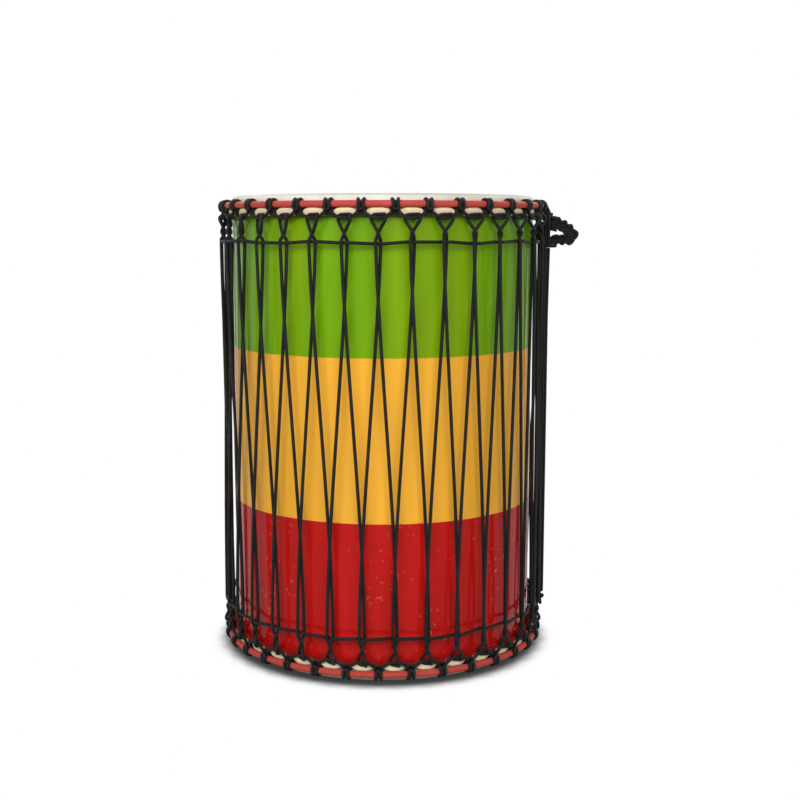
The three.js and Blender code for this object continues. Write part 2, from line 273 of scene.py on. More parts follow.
def at_end(end, corners):
    return [(radius, end.height(drop)) for radius, drop in corners]


def dress(piece, title, slot, body, *nodes):
    """Gives a piece its finish, its body and the CAD nodes that it stands for"""
    piece.data.materials.clear()
    piece.data.materials.append(material_for(title))
    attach(piece, body)
    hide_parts(*nodes)


# Rope tools. A rope's end is rounded by rings at shares of its radius out from the end and across

SPAN_SAMPLES = 10
STRAIGHT_ANGLE = math.radians(4.5)
LONGEST_STEP = 0.05
CAP_SHARES = [(0.45, 0.87), (0.8, 0.55)]
TIP_SHARE = 0.12


def between(first, second, start, finish, at):
    return ((finish - at) * first + (at - start) * second) / (finish - start)


def spline(points, closed):
    """A smooth centripetal curve through the points, thinned where it runs straight"""
    given = np.array(points, float)
    if closed:
        guide = np.vstack([given[-1:], given, given[:2]])
    else:
        guide = np.vstack([2 * given[0] - given[1], given, 2 * given[-1] - given[-2]])
    samples = []
    for index in range(1, len(guide) - 2):
        four = guide[index - 1 : index + 3]
        gaps = np.sqrt(np.linalg.norm(np.diff(four, axis=0), axis=1)) + 1e-9
        t = np.concatenate([[0], np.cumsum(gaps)])
        at = np.linspace(t[1], t[2], SPAN_SAMPLES, endpoint=False)[:, None]
        once = [between(four[k], four[k + 1], t[k], t[k + 1], at) for k in range(3)]
        twice = [between(once[k], once[k + 1], t[k], t[k + 2], at) for k in range(2)]
        samples.append(between(twice[0], twice[1], t[1], t[2], at))
    smooth = np.vstack(samples + ([] if closed else [given[-1:]]))
    return thinned(smooth, closed)


def thinned(smooth, closed):
    ways = np.diff(np.vstack([smooth, smooth[:1]]) if closed else smooth, axis=0)
    lengths = np.linalg.norm(ways, axis=1)
    ways = ways / np.maximum(lengths, 1e-12)[:, None]
    kept = [0]
    travelled = 0
    for index in range(1, len(smooth)):
        travelled += lengths[index - 1]
        bend = float(np.dot(ways[kept[-1]], ways[min(index, len(ways) - 1)]))
        if bend < math.cos(STRAIGHT_ANGLE) or travelled > LONGEST_STEP or index == len(smooth) - 1:
            kept.append(index)
            travelled = 0
    return smooth[kept]


def frames(path, closed):
    """Two directions across the path at each point, carried along it without twist"""
    after = np.roll(path, -1, axis=0)
    before = np.roll(path, 1, axis=0)
    if not closed:
        after[-1] = path[-1]
        before[0] = path[0]
    along = after - before
    along /= np.linalg.norm(along, axis=1)[:, None]
    across = np.zeros_like(path)
    guess = np.cross(along[0], (0.3, 0.5, 0.8))
    for index, way in enumerate(along):
        guess = guess - way * np.dot(guess, way)
        guess = guess / np.linalg.norm(guess)
        across[index] = guess
    other = np.cross(along, across)
    if closed:
        last = across[-1] - along[0] * np.dot(across[-1], along[0])
        gap = math.atan2(np.dot(last, other[0]), np.dot(last, across[0]))
        turn = -gap * np.arange(len(path)) / len(path)
        cosine, sine = np.cos(turn)[:, None], np.sin(turn)[:, None]
        across, other = across * cosine + other * sine, other * cosine - across * sine
    return along, across, other


def tube(path, closed, radius, sides):
    """Vertices, faces and UV corners of one rope. U runs along it in turns of its girth"""
    along, across, other = frames(path, closed)
    rings = [(path[index], radius, across[index], other[index]) for index in range(len(path))]
    if not closed:
        for out, share in CAP_SHARES:
            rings.insert(0, (path[0] - along[0] * radius * out, radius * share, across[0], other[0]))
            rings.append((path[-1] + along[-1] * radius * out, radius * share, across[-1], other[-1]))
    turn = np.arange(sides) * TURN / sides
    cosine, sine = np.cos(turn)[:, None], np.sin(turn)[:, None]
    corners = np.vstack([centre + reach * (cosine * one + sine * two) for centre, reach, one, two in rings])
    centres = np.array([ring[0] for ring in rings])
    gaps = np.linalg.norm(np.diff(np.vstack([centres, centres[:1]]), axis=0), axis=1)
    travel = np.concatenate([[0], np.cumsum(gaps)]) / (TURN * radius)
    faces, uvs = [], []
    last = len(rings) if closed else len(rings) - 1
    for ring in range(last):
        low, high = ring * sides, (ring + 1) % len(rings) * sides
        for side in range(sides):
            beside = (side + 1) % sides
            faces.append((low + side, low + beside, high + beside, high + side))
            u, v = (travel[ring], travel[ring + 1]), (side / sides, (side + 1) / sides)
            uvs.extend([(u[0], v[0]), (u[0], v[1]), (u[1], v[1]), (u[1], v[0])])
    if not closed:
        tip = radius * TIP_SHARE
        tips = np.array([centres[0] - along[0] * tip, centres[-1] + along[-1] * tip])
        first_tip = len(corners)
        corners = np.vstack([corners, tips])
        final = (len(rings) - 1) * sides
        for side in range(sides):
            beside = (side + 1) % sides
            faces.append((beside, side, first_tip))
            faces.append((final + side, final + beside, first_tip + 1))
            v = (side / sides, (side + 1) / sides)
            uvs.extend([(0, v[1]), (0, v[0]), (0, v[0])])
            uvs.extend([(travel[-2], v[0]), (travel[-2], v[1]), (travel[-2], v[0])])
    return corners, faces, uvs


def rope_piece(name, node, strands, sides=12, radius=None, body="drum"):
    """Round ropes for one CAD node. A strand is a list of points and whether it closes on itself"""
    radius = radius or layout().rope_radius
    corners, faces, uvs = [], [], []
    for points, closed in strands:
        base = sum(len(block) for block in corners)
        block, block_faces, block_uvs = tube(spline(points, closed), closed, radius, sides)
        corners.append(block)
        faces.extend([tuple(base + corner for corner in face) for face in block_faces])
        uvs.extend(block_uvs)
    mesh = bpy.data.meshes.new(name)
    mesh.from_pydata(np.vstack(corners), [], faces)
    layer = mesh.uv_layers.new(name="Length and girth")
    layer.data.foreach_set("uv", np.array(uvs, np.float32).ravel())
    piece = bpy.data.objects.new(name, mesh)
    bpy.context.scene.collection.objects.link(piece)
    bpy.ops.object.select_all(action="DESELECT")
    bpy.context.view_layer.objects.active = piece
    piece.select_set(True)
    bpy.ops.object.shade_smooth()
    dress(piece, "Rope", "rope", body, node)


# Shader tools


def fill(socket, value):
    """A signal is linked to the socket, a plain value is set on it and None leaves it alone"""
    if isinstance(value, Signal):
        socket.id_data.links.new(value.socket, socket)
    elif value is not None:
        socket.default_value = value


def add_node(tree, kind, *inputs, **settings):
    """Adds a node, sets it up and fills its inputs in order"""
    made = tree.nodes.new("ShaderNode" + kind)
    for name, value in settings.items():
        setattr(made, name, value)
    for socket, value in zip(made.inputs, inputs):
        fill(socket, value)
    return made


def put(tree, kind, *inputs, out=0, **settings):
    """Adds a node and gives one of its outputs"""
    return Signal(add_node(tree, kind, *inputs, **settings).outputs[out])


def signals(sockets):
    return [Signal(socket) for socket in sockets]


def solid(paint, brightness=1):
    """A colour for a socket, darkened or brightened"""
    return (*(part * brightness for part in paint), 1)


# A Mix node's inputs between its factor and its first colour

COLOUR_GAP = [None] * 5


class Signal:
    """A value on its way through a shader tree. Plain sums with it add Math nodes"""

    def __init__(self, socket):
        self.socket = socket
        self.tree = socket.id_data

    def feed(self, kind, *inputs, out=0, **settings):
        return put(self.tree, kind, self, *inputs, out=out, **settings)

    def maths(self, operation, *inputs):
        return self.feed("Math", *inputs, operation=operation)

    def __add__(self, other):
        return self.maths("ADD", other)

    def __sub__(self, other):
        return self.maths("SUBTRACT", other)

    def __rsub__(self, other):
        return put(self.tree, "Math", other, self, operation="SUBTRACT")

    def __mul__(self, other):
        return self.maths("MULTIPLY", other)

    def __pow__(self, other):
        return self.maths("POWER", other)

    def __abs__(self):
        return self.maths("ABSOLUTE")

    def larger(self, other):
        return self.maths("MAXIMUM", other)

    def ranged(self, low, high, to_low=0, to_high=1):
        """Runs smoothly from one value to another while this goes from low to high"""
        return self.feed("MapRange", low, high, to_low, to_high, interpolation_type="SMOOTHSTEP")

    def noise(self, scale, detail=3, roughness=0.55, out=0):
        return self.feed("TexNoise", None, scale, detail, roughness, out=out)

    def stretched(self, *scale):
        return self.feed("Mapping", None, None, scale)

    def parts(self):
        return signals(add_node(self.tree, "SeparateXYZ", self).outputs)

    def grouped(self, title, *inputs):
        """The outputs of a shared node group that this feeds"""
        return signals(add_node(self.tree, "Group", self, *inputs, node_tree=group_for(title)).outputs)

    def mix(self, first, second):
        """The first colour where this is 0 and the second where it is 1"""
        return self.feed("Mix", *COLOUR_GAP, first, second, out=2, data_type="RGBA")

    def tinted(self, tint):
        inputs = (1, *COLOUR_GAP, self, tint)
        return put(self.tree, "Mix", *inputs, out=2, data_type="RGBA", blend_type="MULTIPLY")

    def bump(self, strength, distance):
        """The normal of a surface that has this height"""
        made = add_node(self.tree, "Bump")
        for name, value in (("Strength", strength), ("Distance", distance), ("Height", self)):
            fill(made.inputs[name], value)
        return Signal(made.outputs[0])


def wear(place, scale, amount):
    """Blotches that come and go over a surface, and fine flecks inside them"""
    threshold = 0.78 - amount * 0.35
    blotch = place.noise(scale, 4).ranged(threshold, threshold + 0.22)
    return blotch, place.noise(scale * 14, 2).ranged(0.62, 0.72)


def grain(place, wave_scale, grain_scale):
    """Fine unevenness: soft waves with a small grain on them"""
    return [place.noise(grain_scale, 2) * 0.25 + place.noise(wave_scale, 2) * 0.75]


def braid(unrolled, strands, lay):
    """The crossing strands of a braided rope, from its UV map"""
    length_part, girth_part = unrolled.parts()[:2]
    along, across = length_part * lay, girth_part * strands
    waves = [abs((angle * math.pi).maths("SINE")) for angle in (along + across, along - across)]
    return [(waves[0] * waves[1]).maths("SQRT")]


GROUPS = {
    "Wear": (wear, {"Vector": None, "Scale": 10, "Amount": 0.5}, ["Blotch", "Fleck"]),
    "Grain": (grain, {"Vector": None, "Wave scale": 8, "Grain scale": 200}, ["Height"]),
    "Braid": (braid, {"UV": None, "Strands": 8, "Lay": 5}, ["Height"]),
}


def group_for(title):
    """A node group is built once and then reused. An input without a default is a vector"""
    if title in bpy.data.node_groups:
        return bpy.data.node_groups[title]
    build, inputs, outputs = GROUPS[title]
    tree = bpy.data.node_groups.new(title, "ShaderNodeTree")
    for name, default in inputs.items():
        kind = "NodeSocketVector" if default is None else "NodeSocketFloat"
        socket = tree.interface.new_socket(name, in_out="INPUT", socket_type=kind)
        if default is not None:
            socket.default_value = default
    for name in outputs:
        tree.interface.new_socket(name, in_out="OUTPUT", socket_type="NodeSocketFloat")
    start, end = tree.nodes.new("NodeGroupInput"), tree.nodes.new("NodeGroupOutput")
    for socket, value in zip(end.inputs, build(*signals(start.outputs)[: len(inputs)])):
        fill(socket, value)
    return tree


# Finishes: each gives the inputs of its material's Principled shader. place is an object
# coordinate and unrolled is a rope's UV map

LINE_WANDER = 0.0012
LINE_BLUR = 0.0004
# Painted light: a lighter, warmer tint for the front of the green band, and the Y range where it falls
FRONT_LIGHT_TINT = (1.28, 0.97, 1, 1)
FRONT_LIGHT_Y = (-0.148, -0.176)
SCUFFED_RED = (0.75, 0.25, 0.2, 1)
PALE_HIDE = (0.86, 0.85, 0.8, 1)
HAIR_ROOTS = (0.09, 0.06, 0.04, 1)
RUST = (0.16, 0.06, 0.025, 1)
PAINT_EDGE = 0.001
SCUFF_BLEND = 0.004
VEIN_WANDER = (0.09, 0.09, 0.09)
FOLD_BLEND = 0.004
# Blend of the painted shade between the legs of a knot
LEG_SHADE_BLEND = 0.003
SMEAR_BLEND = 0.0022
RIM_DROPS = (0.003, 0.0005)
RIM_INSIDE = 0.004
RIM_OUTSIDE = 0.002
# How far the painted shades on the hide's fold go towards their dark colours
PAINTED_SHADE_STRENGTH = 0.985
THREADS_ROUND_RING = 1650
THREAD_TURN_PER_METRE = 7600


def axis_distance(x, y):
    return (x**2 + y**2).maths("SQRT")


def knot_wave(x, y, lower, loop_count):
    """1 at each knot on the crown ring and -1 between two. The lower end's knots stand half a loop on"""
    return (y.maths("ARCTAN2", x) * loop_count).maths("COSINE") * (lower * 2 - 1)


def paint_finish(place, unrolled):
    """Three bands of glossy lacquer with painted light on the front of the green band, and bare wood on the
    inside of the shell
    """
    sizes, colours = bpy.context.scene.dunun_sizes, bpy.context.scene.dunun_colours
    x, y, z = place.parts()
    ragged = place.noise(90, 2) * LINE_WANDER + z
    bands = solid(colours.red)
    for line, paint in ((sizes.red_line, colours.yellow), (sizes.green_line, colours.green)):
        middle = line + LINE_WANDER / 2
        above = ragged.ranged(middle - LINE_BLUR, middle + LINE_BLUR)
        bands = above.mix(bands, solid(paint))
    tone = place.stretched(26, 26, 2.2).noise(1, 3).ranged(0.3, 0.7, 0.93, 1.05)
    bands = bands.tinted(tone.feed("CombineColor", tone, tone))
    # Painted light: the front of the green band, towards the lamps, is tinted lighter and warmer in patches
    front_light_patches = place.stretched(8, 8, 1.2).noise(1, 2).ranged(0.4, 0.66)
    bands = (front_light_patches * (above * y.ranged(*FRONT_LIGHT_Y))).mix(bands, bands.tinted(FRONT_LIGHT_TINT))
    blotch, fleck = place.grouped("Wear", 11, 0.85)
    scuff = blotch * fleck * z.ranged(sizes.red_line, sizes.red_line - SCUFF_BLEND)
    bands = (scuff * 0.7).mix(bands, SCUFFED_RED)
    rings = place.stretched(60, 60, 3).noise(1, 4).ranged(0.35, 0.65)
    wood = rings.mix(solid(colours.wood), solid(colours.wood, 0.6))
    painted = sizes.shell_radius - sizes.edge_rounding
    outside = axis_distance(x, y).ranged(painted, painted + PAINT_EDGE)
    return {
        "Base Color": outside.mix(wood, bands),
        "Roughness": (1 - outside) * 0.6 + blotch.ranged(0, 1, 0.12, 0.2),
        "Normal": place.stretched(1, 1, 0.35).grouped("Grain", 9, 140)[0].bump(0.16, 0.0012),
        "Specular IOR Level": 0.1,
    }


def hide_finish(place, unrolled):
    """Scraped cow hide: off-white with grey and tan mottling, faint veins and a few dark roots. At the fold
    it is warmer, partly painted light bounced from the red cloth, and it carries painted shade
    """
    lay, colours = layout(), bpy.context.scene.dunun_colours
    dark = solid(colours.hide_dark)
    cloud = place.noise(9, 5, 0.6).ranged(0.35, 0.72)
    base = (cloud * 0.45).mix(solid(colours.hide), dark)
    base = (place.noise(24, 3).ranged(0.45, 0.75) * 0.35).mix(base, PALE_HIDE)
    wander = place.noise(14, 4, 0.5, out="Color")
    bent = wander.feed("VectorMath", VEIN_WANDER, place, operation="MULTIPLY_ADD")
    veins = bent.feed("TexVoronoi", None, 13, feature="DISTANCE_TO_EDGE")
    base = (veins.ranged(0.035, 0) * 0.1).mix(base, dark)
    blotch, fleck = place.grouped("Wear", 30, 0.35)
    base = (blotch * fleck * 0.6).mix(base, HAIR_ROOTS)
    x, y, z = place.parts()
    half = lay.sizes.drum_height / 2
    lower = z.maths("LESS_THAN", half)
    drop = half - abs(z - half)
    fold_top = lay.flesh_drop - lay.fold_outside - PILLOW_RISE
    # The fold is tinted warmer: partly the hide's own tone, partly painted light bounced from the red ring
    # cloth
    base = drop.ranged(fold_top - FOLD_BLEND, fold_top).mix(base, solid(colours.hide_fold_and_bounce))
    # Painted shade: between the legs of each knot the hide is darkened nearly to black, where the ropes
    # shade it
    knots = knot_wave(x, y, lower, lay.sizes.loop_count).ranged(0.4, 0.7, 0, PAINTED_SHADE_STRENGTH)
    shade_between_legs = knots * drop.ranged(fold_top - LEG_SHADE_BLEND, fold_top)
    base = shade_between_legs.mix(base, solid(colours.hide_fold_and_bounce, 0.02))
    # Partly paint smeared onto the hide, partly painted shade: the fold's far side takes the shell's
    # colour, green darkened to a quarter and red to 0.4
    far_side = lower * (-0.4 * lay.fold_outside) + (lay.flesh_drop + 0.3 * lay.fold_outside)
    shaded_paint_smear = (drop - far_side).ranged(0, SMEAR_BLEND, 0, PAINTED_SHADE_STRENGTH)
    base = shaded_paint_smear.mix(base, lower.mix(solid(colours.green, 0.25), solid(colours.red, 0.4)))
    crest = lay.sizes.shell_radius - lay.sizes.edge_rounding
    at_edge = axis_distance(x, y).ranged(crest - RIM_INSIDE, crest + RIM_OUTSIDE, 0, 0.5)
    rim = drop.ranged(*RIM_DROPS) * (1 - lower) * at_edge
    return {
        "Base Color": rim.mix(base, dark),
        "Roughness": cloud.ranged(0, 1, 0.55, 0.7).larger(shaded_paint_smear.larger(shade_between_legs)),
        "Normal": place.grouped("Grain", 45, 420)[0].bump(0.4, 0.0008),
        "Specular IOR Level": 0.2,
    }


def cloth_finish(place, unrolled):
    """Red cotton strip with a plain weave, a little faded in places, and darkened nearly to black at the
    knots as painted shade
    """
    sizes, colours = bpy.context.scene.dunun_sizes, bpy.context.scene.dunun_colours
    x, y, z = place.parts()
    weft = (y.maths("ARCTAN2", x) * THREADS_ROUND_RING).maths("SINE")
    weave = weft * (z * THREAD_TURN_PER_METRE).maths("SINE")
    blotch = place.grouped("Wear", 26, 0.6)[0]
    faded = solid([min(1, part * 1.35 + 0.05) for part in colours.cloth])
    base = (blotch * 0.6).mix(solid(colours.cloth), faded)
    base = weave.ranged(-1, 1, 0, 0.16).mix(base, solid(colours.cloth, 0.5))
    lower = z.maths("LESS_THAN", sizes.drum_height / 2)
    # Painted shade: at each knot, between the hitch's ears, the cloth goes nearly to black where the rope
    # shades it
    knots = knot_wave(x, y, lower, sizes.loop_count).ranged(0.6, 0.88, 0, 0.96)
    return {
        "Base Color": knots.mix(base, solid(colours.cloth, 0.02)),
        "Roughness": blotch.ranged(0, 1, 0.62, 0.8),
        "Normal": weave.ranged(-1, 1).bump(0.35, 0.00012),
        "Specular IOR Level": 0.2,
        "Sheen Weight": 0.1,
        "Sheen Roughness": 0.5,
    }


def rope_finish(place, unrolled):
    """Black braided polyester, greyer on the crowns of its strands: partly worn fibre, partly a painted
    highlight
    """
    colours = bpy.context.scene.dunun_colours
    strands = unrolled.grouped("Braid", 8, 5)[0]
    # The strand crowns are lightened in blotches: partly worn fibre, partly a painted highlight
    wear_and_highlight = place.grouped("Wear", 40, 0.7)[0] * 0.7 + 0.3
    return {
        "Base Color": (strands.ranged(0.7, 1) * wear_and_highlight).mix(solid(colours.rope), solid(colours.rope, 12)),
        "Roughness": strands.ranged(0, 1, 0.75, 0.5),
        "Normal": strands.bump(0.55, 0.0004),
        "Specular IOR Level": 0.13,
        "Sheen Weight": 0.015,
        "Sheen Roughness": 0.45,
    }


def steel_finish(place, unrolled):
    """Drawn mild steel rod with a dull skin and a little rust"""
    blotch = place.grouped("Wear", 22, 0.6)[0]
    return {
        "Base Color": (blotch * 0.6).mix(solid(bpy.context.scene.dunun_colours.steel), RUST),
        "Roughness": blotch.ranged(0, 1, 0.38, 0.7),
        "Metallic": blotch.ranged(0, 1, 1, 0.5),
        "Normal": place.stretched(1, 1, 4).grouped("Grain", 60, 600)[0].bump(0.3, 0.0004),
    }


MATERIALS = {
    "Shell paint": paint_finish,
    "Hide": hide_finish,
    "Ring cloth": cloth_finish,
    "Rope": rope_finish,
    "Ring steel": steel_finish,
}


def material_for(title):
    """A material is made once and then reused"""
    if title in bpy.data.materials:
        return bpy.data.materials[title]
    material = bpy.data.materials.new(title)
    material.use_nodes = True
    tree = material.node_tree
    places = add_node(tree, "TexCoord").outputs
    finish = MATERIALS[title](Signal(places["Object"]), Signal(places["UV"]))
    for name, value in finish.items():
        fill(tree.nodes["Principled BSDF"].inputs[name], value)
    return material


# Shell, skins and rings

FACETS_PER_LOOP = 8
CLOTH_FACETS_PER_LOOP = 10

# Rings of the flat head, from its pole outwards

HEAD_RINGS = (0.002, 0.06, 0.12, 0.165, 0.184)
FOLD_END_ANGLE = -60
SAME_LEVEL = 1e-5
PILLOW_OUT = 0.0028
PILLOW_RISE = 0.0038
PILLOW_FULLNESS = 1.5
CLOTH_SEAM_ANGLES = (188, 532)
CLOTH_FOLD_SIZE = 0.012
CLOTH_FOLD_DEPTH = 0.0004


def bearing_edge(end, sizes):
    crest = sizes.shell_radius - sizes.edge_rounding
    top = sizes.skin_thickness + sizes.seat_gap
    rounding = arc((crest, top + sizes.edge_rounding), sizes.edge_rounding, steps(0, -90, 8))
    inner = sizes.shell_radius - sizes.shell_wall
    chamfer = crest - sizes.edge_land - inner
    return at_end(end, rounding + [(crest - sizes.edge_land, top), (inner, top + chamfer / 2)])


class DUNUN_OT_shell(bpy.types.Operator):
    """Turns the wooden shell and paints its three bands"""

    bl_idname = "dunun.shell"
    bl_label = "Shell"

    def execute(self, context):
        lay = layout()
        sizes = lay.sizes
        wall = [(sizes.shell_radius, sizes.green_line), (sizes.shell_radius, sizes.red_line)]
        corners = bearing_edge(lay.top, sizes)[::-1] + wall + bearing_edge(lay.bottom, sizes)
        piece = seal(turned("shell_painted", corners, FACETS_PER_LOOP * sizes.loop_count))
        dress(piece, "Shell paint", "shell_paint", "drum", "shell")
        return {"FINISHED"}


def skin_corners(lay):
    """The hide's section: across the head, over the edge, down inside the flesh ring and round it"""
    sizes = lay.sizes
    crest = sizes.shell_radius - sizes.edge_rounding
    face = sizes.skin_thickness + sizes.edge_rounding + sizes.seat_gap
    ring = (lay.flesh_radius, lay.flesh_drop)
    hair_side = [(radius, 0) for radius in HEAD_RINGS]
    hair_side += arc((crest, face), face, steps(-90, 0, 9))
    hair_side += arc(ring, lay.fold_inside, steps(180, FOLD_END_ANGLE, 12))
    flesh_side = arc(ring, lay.fold_outside, steps(FOLD_END_ANGLE, 180, 18))
    flesh_side += arc((crest, face), face - sizes.skin_thickness, steps(0, -90, 9))
    flesh_side += [(radius, sizes.skin_thickness) for radius in HEAD_RINGS[::-1]]
    return hair_side + flesh_side


def shape_fold(piece, lay, end):
    """Between two knots the folded hide bulges up and out under the crown ring, like a pillow"""
    ring = Vector((lay.flesh_radius, lay.flesh_drop))
    reach = lay.fold_outside + lay.sizes.seat_gap
    for vertex in piece.data.vertices:
        radius = math.hypot(vertex.co.x, vertex.co.y)
        drop = (vertex.co.z - end.face) / end.way
        offset = Vector((radius, drop)) - ring
        if offset.length > reach or radius < ring.x:
            continue
        angle = math.atan2(vertex.co.y, vertex.co.x) - end.phase
        swell = min(1, PILLOW_FULLNESS * (1 + math.cos(TURN * angle / lay.pitch)) / 2)
        facing = max(0, (offset.x - offset.y) / offset.length / math.sqrt(2)) ** 2
        share = 1 + swell * facing * PILLOW_OUT / radius
        vertex.co.x *= share
        vertex.co.y *= share
        vertex.co.z = end.height(drop - swell * facing * PILLOW_RISE)


class DUNUN_OT_skins(bpy.types.Operator):
    """Stretches a hide over each end and folds it round its ring"""

    bl_idname = "dunun.skins"
    bl_label = "Skins"

    def execute(self, context):
        lay = layout()
        pole = 2 * HEAD_RINGS[0]
        for end in lay.ends:
            corners = at_end(end, skin_corners(lay))
            piece = turned(f"{end.name}_hide", corners, FACETS_PER_LOOP * lay.sizes.loop_count, False)
            for drop in (0, lay.sizes.skin_thickness):
                height = end.height(drop)
                choose(piece, lambda co: abs(co.z - height) < SAME_LEVEL and math.hypot(co.x, co.y) < pole)
                bpy.ops.mesh.merge(type="CENTER")
            seal(piece)
            shape_fold(piece, lay, end)
            dress(piece, "Hide", "skin", "drum", f"{end.name}_skin")
        return {"FINISHED"}


class DUNUN_OT_rings(bpy.types.Operator):
    """Wraps each crown ring in a strip of cloth and gives the rings their steel"""

    bl_idname = "dunun.rings"
    bl_label = "Rings"

    def execute(self, context):
        lay = layout()
        centre = (lay.crown_radius, lay.sizes.crown_drop)
        inside = arc(centre, lay.cloth_inside, steps(*CLOTH_SEAM_ANGLES, 20))
        outside = arc(centre, lay.cloth_outside, steps(*CLOTH_SEAM_ANGLES[::-1], 20))
        facets = CLOTH_FACETS_PER_LOOP * lay.sizes.loop_count
        for end in lay.ends:
            piece = seal(turned(f"{end.name}_ring_cloth", at_end(end, inside + outside), facets))
            texture = bpy.data.textures.new(f"{end.name} cloth folds", "CLOUDS")
            texture.noise_scale = CLOTH_FOLD_SIZE
            folds = piece.modifiers.new("Folds", "DISPLACE")
            folds.texture = texture
            folds.texture_coords = "LOCAL"
            folds.strength = CLOTH_FOLD_DEPTH
            folds.mid_level = 0.6
            bpy.ops.object.modifier_apply(modifier=folds.name)
            dress(piece, "Ring cloth", "crown_cloth", "drum", f"{end.name}_crown_cloth")
            for ring in ("flesh", "crown"):
                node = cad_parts[f"{end.name}_{ring}_ring"]
                node.data.materials.clear()
                node.data.materials.append(material_for("Ring steel"))
        return {"FINISHED"}


# Loop ropes: a cow hitch on the crown ring at each knot, and a level run to the next one.
# Ear points are an angle round the ring, a side in rope steps and a reach in hugs.
# Leg points are shares of the way out and down from the neck to the run, and a side in rope steps.

EAR = [
    (55, 0, 1.2), (50, 0.42, 1.16), (36, 0.66, 1.06), (12, 0.58, 0.98),
    (-20, 0.55, 0.92), (-52, 0.66, 0.88), (-90, 0.8, 0.87), (-125, 0.82, 0.89),
    (-160, 0.83, 0.93), (-195, 0.84, 0.97), (-225, 0.85, 1),
]
NECK_ANGLE = -242
LEG = [
    (0, 0, 0.84), (0.45, 0.13, 0.86), (0.78, 0.3, 0.95), (0.94, 0.45, 1.14),
    (1, 0.58, 1.45), (1, 0.72, 1.9), (1, 0.86, 2.5), (1, 1, 3.3),
]
LONG_ROPE_SIDES = 10
TIE_KNOT_PLACE = 1


def hitch_side(lay, end, angle, direction):
    centre = (lay.crown_radius, lay.sizes.crown_drop)
    points = []
    for turn, side, reach in EAR:
        radius, drop = arc(centre, lay.hug * reach, [turn])[0]
        points.append(lay.place(end, angle, direction * side * lay.rope_step, radius, drop))
    neck = arc(centre, lay.hug, [NECK_ANGLE])[0]
    for out, down, side in LEG:
        radius = neck[0] + out * (lay.cage_radius - neck[0])
        drop = neck[1] + down * (lay.run_drop - neck[1])
        points.append(lay.place(end, angle, direction * side * lay.rope_step, radius, drop))
    return points


def loop_rope_points(lay, end):
    points = []
    count = lay.sizes.loop_count
    for step in range(count + 1):
        angle = end.phase + (TIE_KNOT_PLACE + step + 0.5) * lay.pitch
        if step > 0:
            points.extend(hitch_side(lay, end, angle, -1)[::-1])
        if step < count:
            leaving = hitch_side(lay, end, angle, 1)
            points.extend(leaving[1:] if step else leaving)
    return points[2:-2]


# Tie knots: reaches and tails run outwards, sideways and up

TREFOIL_SHARE = 0.46
LOOP_KNOT = {"radius": 0.0017, "reach": (0.0018, 0.0052, 0.0032), "tail": (0.002, 0.004, 0.009)}
LACING_KNOT = {"radius": 0.0018, "reach": (0.0022, 0.0045, 0.0045), "tail": (0, 0.0015, 0.0075)}


def tied_knot(name, node, angle, way, radius, reach, tail):
    """An overhand knot in its CAD knot's place: a trefoil opened at the back, with two tails"""
    out = Vector((math.cos(angle), math.sin(angle), 0))
    side = Vector((-out.y, out.x, 0))
    up = Vector((0, 0, 1))
    low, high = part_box(node)
    centre = (low + high) / 2
    points = []
    for turn in steps(-TURN * TREFOIL_SHARE, TURN * TREFOIL_SHARE, 30):
        across = (math.sin(turn) + 2 * math.sin(2 * turn)) / 3
        along = (math.cos(turn) - 2 * math.cos(2 * turn)) / 3
        flat = side * across * reach[1] + up * along * reach[2]
        points.append(centre + flat - out * math.sin(3 * turn) * reach[0])
    first, last = [centre + side * hand * tail[1] + up * way * tail[2] + out * tail[0] for hand in (-1, 1)]
    rope_piece(name, node, [([first, *points, last], False)], radius=radius)


class DUNUN_OT_loop_ropes(bpy.types.Operator):
    """Hitches the loop rope of each end to its crown ring and ties it off"""

    bl_idname = "dunun.loop_ropes"
    bl_label = "Loop ropes"

    def execute(self, context):
        lay = layout()
        for end in lay.ends:
            name = f"{end.name}_loop_rope"
            rope_piece(f"{name}_hitched", name, [(loop_rope_points(lay, end), False)], LONG_ROPE_SIDES)
            angle = end.phase + (TIE_KNOT_PLACE + 0.5) * lay.pitch
            tied_knot(f"{name}_tie", f"{name}_knot", angle, end.way, **LOOP_KNOT)
        return {"FINISHED"}


# Lacing: it turns round the run of each loop, crosses itself, passes the weave rope as a pair
# and crosses again before it goes over to the other end.
# Turn points are a side in spreads, an angle round the run and a reach in rope steps. Arm points are
# shares of the pair's side and depth and of the way from the first crossing to the weave rope.

TURN_ROUND_RUN = [
    (-1, -218, 1), (-0.97, -182, 1), (-0.82, -146, 0.96), (-0.45, -124, 0.93), (0, -116, 0.92),
    (0.42, -111, 0.91), (0.76, -101, 0.9), (0.94, -70, 0.9), (1, -20, 0.98), (1, 28, 1),
]
CROSS_DEPTH_SHARE = 0.78
ARM = [(-0.3, -0.4, 0.27), (-0.6, 0.2, 0.55), (-0.86, 0.82, 0.8), (-0.98, 1, 1), (-1, 1, 1.35)]


def turn_points(lay, end, angle):
    run = (lay.cage_radius, lay.run_drop)
    points = []
    for side, turn, reach in TURN_ROUND_RUN:
        radius, drop = arc(run, lay.rope_step * reach, [turn])[0]
        points.append(lay.place(end, angle, side * end.spread, radius, drop))
    return points


